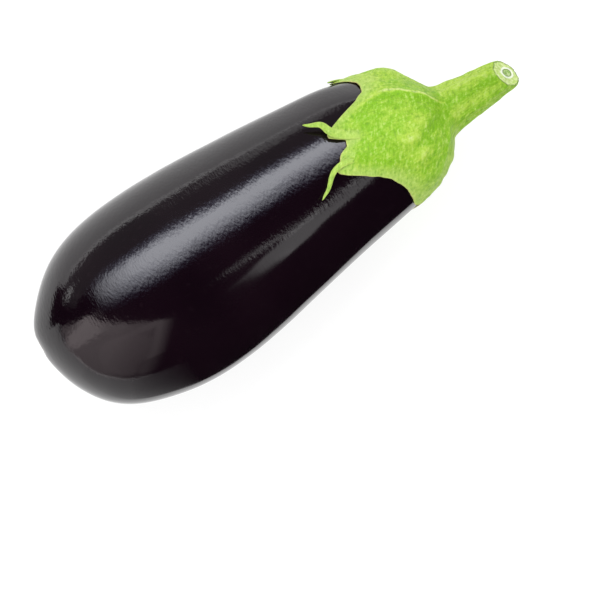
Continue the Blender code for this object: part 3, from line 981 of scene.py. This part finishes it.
def card_finish(card):
    """A clear sheet with the card's glow, which fades over four widths at its four edges."""
    made = Finish(card.name, 1.0)
    x, y = made.along(0), made.along(1)
    wide, high = card.size[0] / 2, card.size[1] / 2
    left, right, low, top = card.soft
    light = made.span(y, -high, high, *card.glow)
    for place, reach, first, last in ((x, wide, left, right), (y, high, low, top)):
        light = made.math("MULTIPLY", light, made.span(place, -reach, first - reach))
        light = made.math("MULTIPLY", light, made.span(place, reach, reach - last))
    glowing = made.node("ShaderNodeEmission")
    glowing.inputs["Color"].default_value = (*card.colour, 1)
    made.feed(glowing.inputs["Strength"], light)
    both = made.node("ShaderNodeAddShader")
    made.feed(both.inputs[0], glowing.outputs[0])
    made.feed(both.inputs[1], made.node("ShaderNodeBsdfTransparent").outputs[0])
    made.feed(made.tree.nodes["Material Output"].inputs["Surface"], both.outputs[0])
    return made.material


# The studio

WHITE, PLAIN, BLUE, WARM = (1, 1, 1), (0.97, 0.98, 0.995), (0.75, 0.85, 1.3), (1, 0.88, 0.89)
FLOOR_REACH = 8.0
BRIGHT, DIM = 1.1, 0.008  # the surroundings, as seen by all else and by reflections


class Card(NamedTuple):
    """A glowing card that is seen only in the skin's reflections.

    Its bearing is degrees from +X, its slope is degrees off +Z, and shift moves it sideways. Its
    first side is level. Its glow runs from the first number at its low edge to the second at its
    high edge, and fades to nothing over the four widths of soft: left, right, low and high.
    """

    name: str
    bearing: float
    slope: float
    shift: float
    size: tuple
    glow: tuple
    soft: tuple
    colour: tuple = WHITE
    distance: float = 1.0


class Board(NamedTuple):
    """An upright black board between two spots of the floor, seen only in the skin's reflections.

    Where it has a fade, its black runs along X, between two places and two shares of black.
    """

    name: str
    start: tuple
    end: tuple
    top: float
    fade: tuple = ()


class Softbox(NamedTuple):
    """A rectangular light, placed like a card, that neither the camera nor a reflection sees."""

    name: str
    bearing: float
    slope: float
    size: tuple
    radiance: float
    distance: float


# The long card stands over the fruit's far side, with a faint blue fringe. The near card and the
# end card light the tip, and the streaks and the wedge its near side. The small card, the horizon,
# the far end and the haze light the far side's rim.
CARDS = (
    Card("long_card", 90, 32, -0.24, (1.92, 0.74), (6.7, 5.2), (0.02, 0.75, 0.20, 0.34), PLAIN, 1.1),
    Card("long_fringe", 90, 32, -0.24, (2.0, 0.96), (1.1, 1.0), (0.02, 0.70, 0.22, 0.34), BLUE, 1.12),
    Card("near_card", -129.7, 59.5, -0.60, (2.0, 1.46), (0.42, 1.05), (0.3, 0.14, 0.02, 0.03), WARM),
    Card("near_end", -129.7, 59.5, -0.70, (1.8, 1.46), (0.3, 0.75), (0.3, 0.5, 0.02, 0.03), WARM),
    Card("end_card", 175, 60, 0, (0.44, 0.90), (0.9, 0.9), (0.05, 0.05, 0.02, 0.2), WARM),
    Card("streak", -49.5, 36.5, 0, (0.055, 0.42), (2.6, 2.3), (0.02, 0.02, 0.05, 0.12)),
    Card("low_streak", -61.5, 54, 0, (0.065, 0.32), (1.1, 0.9), (0.02, 0.02, 0.05, 0.12)),
    Card("wedge", -55.5, 54, 0, (0.22, 0.50), (1.6, 1.4), (0.06, 0.05, 0.20, 0.05)),
    Card("small_card", 138, 77, 0, (0.26, 0.09), (2.7, 2.7), (0.05, 0.05, 0.02, 0.02)),
    Card("horizon", 94, 87, -0.175, (2.05, 0.12), (1.05, 1.05), (0.4, 0.3, 0.01, 0.03)),
    Card("far_end", 74, 79, 0, (0.30, 0.24), (0.9, 0.9), (0.10, 0.10, 0.02, 0.06)),
    Card("far_haze", 90, 66, 0, (3.0, 0.7), (0.24, 0.20), (0.1, 0.4, 0.02, 0.10)),
)
BOARDS = (
    Board("near_board", (-0.110, -0.074), (0.095, -0.046), 0.095, (-0.110, -0.062, 0.0, 1.0)),
    Board("low_board", (-0.190, -0.050), (-0.045, -0.080), 0.071, (-0.140, -0.060, 0.08, 0.66)),
    Board("tip_board", (-0.231, 0.184), (-0.298, 0.085), 0.066),
)
BOARD_FOOT = 2.0 * MM  # its gap over the floor
SOFTBOXES = (
    Softbox("top_light", 100, 30, (1.1, 1.1), 3.6, 1.6),
    Softbox("fill", -60, 50, (1.6, 1.6), 0.75, 1.5),
)


def flat_piece(name, corners):
    """One flat four-cornered piece of the studio."""
    mesh = bpy.data.meshes.new(name)
    mesh.from_pydata(corners, [], [(0, 1, 2, 3)])
    piece = bpy.data.objects.new(name, mesh)
    bpy.context.scene.collection.objects.link(piece)
    return piece


def make_floor():
    """A flat square floor at the height on which the fruit rests."""
    sides = ((-1, -1), (1, -1), (1, 1), (-1, 1))
    floor = flat_piece("floor", [(x * FLOOR_REACH, y * FLOOR_REACH, 0) for x, y in sides])
    floor.data.materials.append(floor_finish())


def aimed_at_fruit(bearing, slope, distance, shift=0.0):
    """A place on the sky round the fruit, turned towards it, with its first side level."""
    around, down = math.radians(bearing), math.radians(slope)
    back = Vector((math.sin(down) * math.cos(around), math.sin(down) * math.sin(around), math.cos(down)))
    level = Vector((-math.sin(around), math.cos(around), 0))
    turned = Matrix((level, back.cross(level), back)).transposed().to_4x4()
    return Matrix.Translation(back * distance + level * shift) @ turned


def make_softbox(box):
    """A light's power is its radiance times its area times pi."""
    lamp = bpy.data.lights.new(box.name, "AREA")
    lamp.shape = "RECTANGLE"
    lamp.size, lamp.size_y = box.size
    lamp.energy = box.radiance * box.size[0] * box.size[1] * math.pi
    light = bpy.data.objects.new(box.name, lamp)
    light.matrix_world = aimed_at_fruit(box.bearing, box.slope, box.distance)
    light.visible_camera = light.visible_glossy = False
    bpy.context.scene.collection.objects.link(light)


def make_board(board):
    """A board stands on end between its two spots."""
    low = [(*board.start, BOARD_FOOT), (*board.end, BOARD_FOOT)]
    piece = flat_piece(board.name, low + [(*board.end, board.top), (*board.start, board.top)])
    piece.data.materials.append(board_finish(board.fade))
    hide_from_all_but_reflections(piece)


def make_card(card):
    """A card is flat and square to the line from the fruit's middle."""
    wide, high = card.size[0] / 2, card.size[1] / 2
    sides = ((-1, -1), (1, -1), (1, 1), (-1, 1))
    piece = flat_piece(card.name, [(x * wide, y * high, 0) for x, y in sides])
    piece.matrix_world = aimed_at_fruit(card.bearing, card.slope, card.distance, card.shift)
    piece.data.materials.append(card_finish(card))
    hide_from_all_but_reflections(piece)


def hide_from_all_but_reflections(thing):
    """Leaves a thing of the studio visible only to reflections."""
    thing.visible_camera = thing.visible_diffuse = thing.visible_shadow = False
    thing.visible_transmission = thing.visible_volume_scatter = False


def make_studio():
    """Soft light from all round, and cards and boards that the skin reflects.

    The cards and boards show only in the skin, while two wide softboxes and the bright
    surroundings light the rest.
    """
    for card in CARDS:
        make_card(card)
    for box in SOFTBOXES:
        make_softbox(box)
    for board in BOARDS:
        make_board(board)
    make_surroundings()


def make_surroundings():
    """White surroundings, bright for all but reflections, which see them nearly black."""
    world = bpy.data.worlds.new("studio")
    bpy.context.scene.world = world
    world.use_nodes = True
    tree = world.node_tree
    tree.nodes.clear()
    out = tree.nodes.new("ShaderNodeOutputWorld")
    path = tree.nodes.new("ShaderNodeLightPath")
    pick = tree.nodes.new("ShaderNodeMixShader")
    tree.links.new(path.outputs["Is Glossy Ray"], pick.inputs[0])
    for slot, strength in ((1, BRIGHT), (2, DIM)):
        sky = tree.nodes.new("ShaderNodeBackground")
        sky.inputs["Color"].default_value = (1, 1, 1, 1)
        sky.inputs["Strength"].default_value = strength
        tree.links.new(sky.outputs[0], pick.inputs[slot])
    tree.links.new(pick.outputs[0], out.inputs["Surface"])


def make_camera():
    """A long lens straight above, turned so that the fruit's long axis rises to the right."""
    right = Vector((math.cos(VIEW_ROLL), -math.sin(VIEW_ROLL), 0))
    up = Vector((math.sin(VIEW_ROLL), math.cos(VIEW_ROLL), 0))
    back = Vector((0, 0, 1))
    lens = bpy.data.cameras.new("camera")
    lens.sensor_width = 36.0
    lens.lens = 36.0 * VIEW_DISTANCE / VIEW_WIDTH
    lens.clip_start, lens.clip_end = 0.05, 50.0
    camera = bpy.data.objects.new("camera", lens)
    turned = Matrix((right, up, back)).transposed().to_4x4()
    camera.matrix_world = Matrix.Translation(VIEW_CENTRE + back * VIEW_DISTANCE) @ turned
    bpy.context.scene.collection.objects.link(camera)
    bpy.context.scene.camera = camera


def main():
    """The two pieces in place of the solids, and their studio."""
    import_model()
    bpy.context.scene.view_settings.view_transform = "Standard"

    fruit = make_fruit()
    fruit.data.materials.append(skin_finish())
    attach(fruit, "root")
    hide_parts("fruit")

    calyx = make_calyx()
    calyx.data.materials.append(calyx_finish())
    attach(calyx, "root")
    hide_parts("calyx_and_stem")

    make_floor()
    make_studio()
    make_camera()


main()
